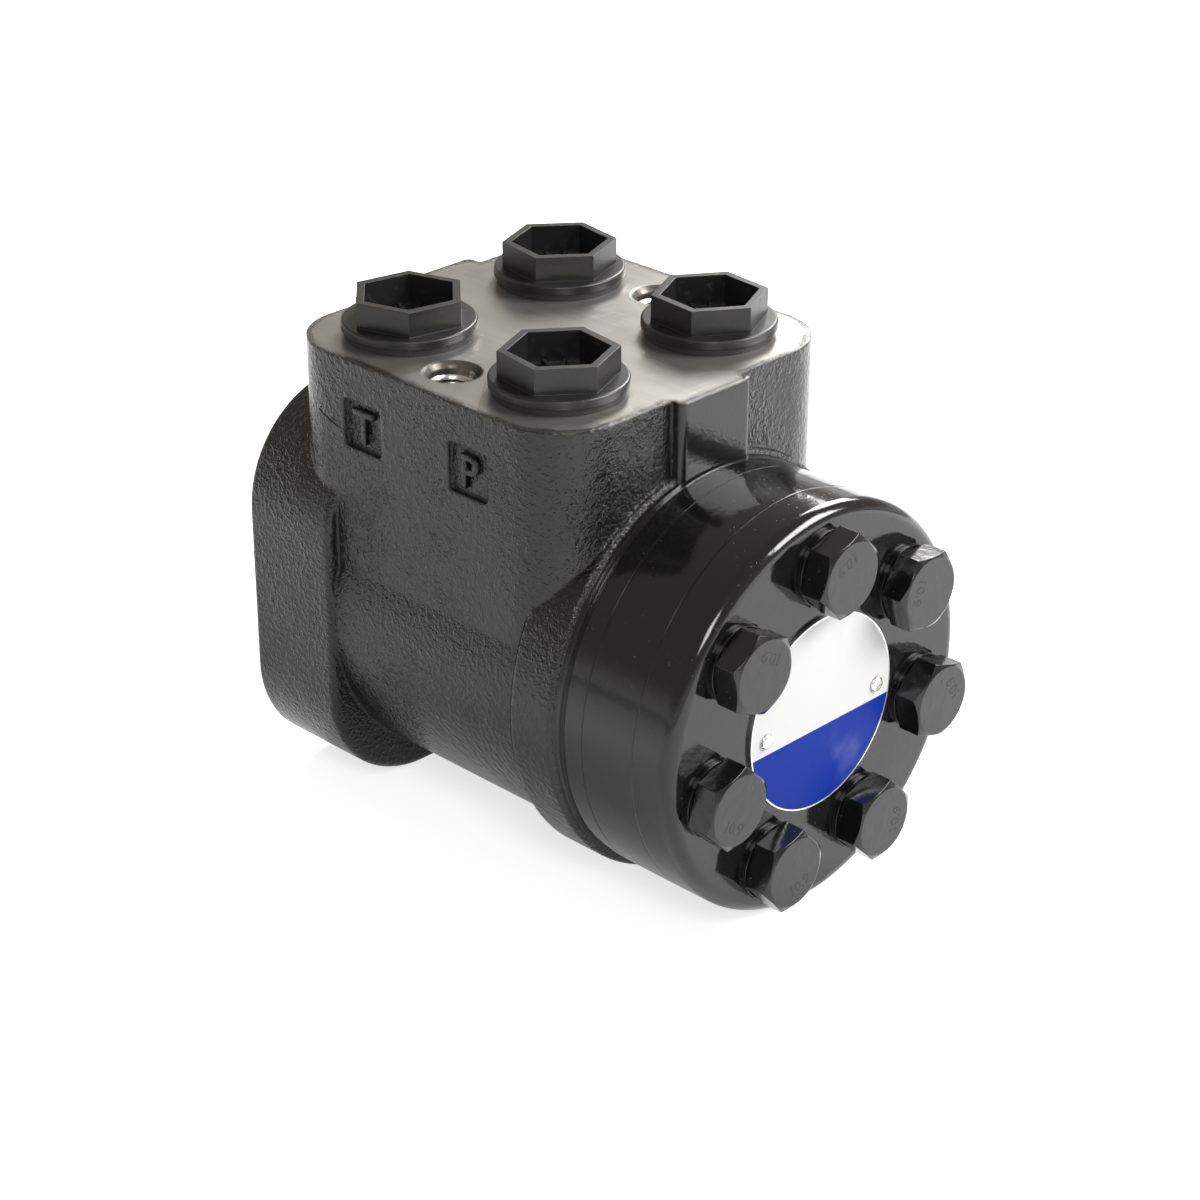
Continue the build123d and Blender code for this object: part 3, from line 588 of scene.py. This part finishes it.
def rubber_finish():
    rubber = Finish("seal_rubber")
    bloom = rubber.noise(180.0, 4.0)
    return rubber.surface(
        Base_Color=rubber.tint(bloom, rubber_black, (0.022, 0.022, 0.021)),
        Roughness=0.46 + bloom * 0.2,
        Normal=rubber.bump(rubber.noise(1600.0, 2.0), 0.03 * mm, rubber.eased(0.15 * mm)))


plug_plastic = plug_plastic_finish()
seal_rubber = rubber_finish()
for port in "ptlr":
    dress(f"port_plug_{port}", plug_plastic)
    dress(f"plug_seal_{port}", seal_rubber)
for node in ("dust_seal", "shaft_seal", "body_seal_ring", "plate_seal_ring", "cover_seal_ring"):
    dress(node, seal_rubber)


# ---------------------------------------------------------------- valve, bearing and gear set
# Working parts inside: the honed sleeve and spool, hardened bearing and pin, blued leaf springs,
# and the ground gear set with its phosphated drive shaft. All of them carry a film of oil.
steel_looks = {
    "ground_steel": ((0.50, 0.49, 0.47), (0.66, 0.65, 0.63), 0.20, (1.0, 0.03, 0.03)),
    "hard_steel": ((0.66, 0.66, 0.65), (0.80, 0.80, 0.79), 0.10, (0.2, 1.0, 1.0)),
    "blued_strip": ((0.06, 0.075, 0.12), (0.13, 0.12, 0.12), 0.26, (1.0, 0.05, 1.0)),
    "phosphated": ((0.10, 0.098, 0.092), (0.19, 0.185, 0.175), 0.42, (0.6, 1.0, 1.0)),
}
steel_parts = {
    "ground_steel": ("sleeve", "spool", "spring_ring", "spacer", "gear_rotor"),
    "hard_steel": ("bearing_outer_race", "bearing_inner_race", "bearing_cage", "bearing_needles",
                   "cross_pin", "check_ball"),
    "blued_strip": ("flat_leaf_springs", "curved_leaf_springs"),
    "phosphated": ("cardan_shaft",),
}


def steel_finish(name, dark, light, polish, grain):
    steel = Finish(name)
    marks = steel.noise(1800.0, 2.0, steel.stretch(*grain))
    film = steel.noise(70.0, 3.0)
    return steel.surface(
        Base_Color=steel.tint(film * 0.6 + marks * 0.4, dark, light),
        Metallic=1.0,
        Roughness=polish + marks * 0.10 + film * 0.08,
        Normal=steel.bump(marks, 0.02 * mm, steel.eased(0.15 * mm)))


for name, look in steel_looks.items():
    finish = steel_finish(name, *look)
    for node in steel_parts[name]:
        dress(node, finish)
